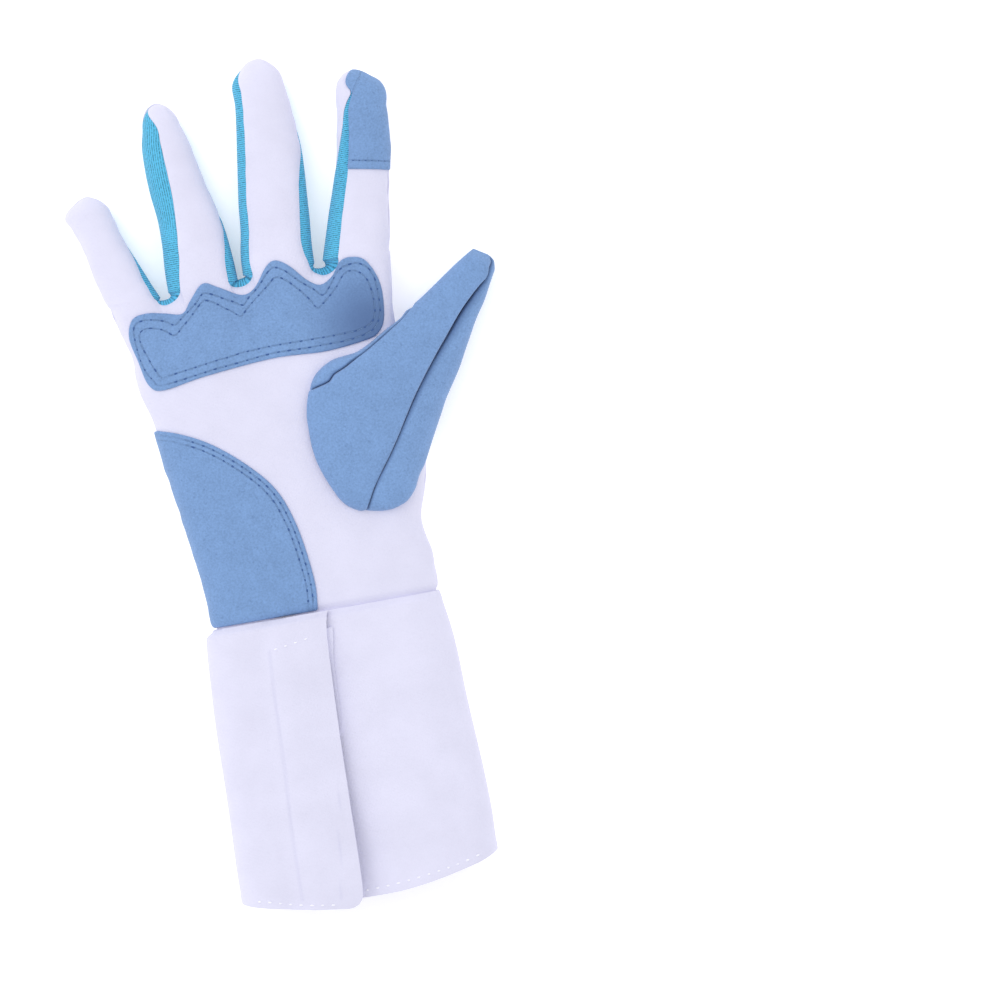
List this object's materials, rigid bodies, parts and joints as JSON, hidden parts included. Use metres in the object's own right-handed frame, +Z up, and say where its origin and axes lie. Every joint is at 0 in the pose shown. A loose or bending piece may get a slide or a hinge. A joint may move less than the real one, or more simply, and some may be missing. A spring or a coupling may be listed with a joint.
{
  "type": "fencing glove",
  "caption": "Right-hand fencing glove with long open cuff, overlapping closing flap, suede palm patches, full suede thumb and knit finger gussets, lying palm up.",
  "frame": {"origin": "on the table, under the middle of the glove's bounding box", "axes": "+Y from the cuff to the fingertips, +Z up out of the palm, +X to the thumb side"},
  "size_m": [0.166, 0.3408, 0.0357],
  "materials": {
    "white_cotton": "matt woven cotton",
    "cuff_cotton": "matt woven cotton, two plies",
    "turquoise_knit": "fine ribbed stretch knit",
    "blue_suede": "napped suede"
  },
  "bodies": {
    "root": {"palm_panel": "white_cotton", "back_panel": "white_cotton", "gusset_little_ring": "turquoise_knit", "gusset_ring_middle": "turquoise_knit", "gusset_middle_index": "turquoise_knit", "cuff_body": "cuff_cotton", "cuff_flap": "cuff_cotton", "knuckle_patch": "blue_suede", "heel_patch": "blue_suede", "index_tip_patch": "blue_suede", "thumb_front": "blue_suede", "thumb_back": "blue_suede"}
  },
  "joints": []
}
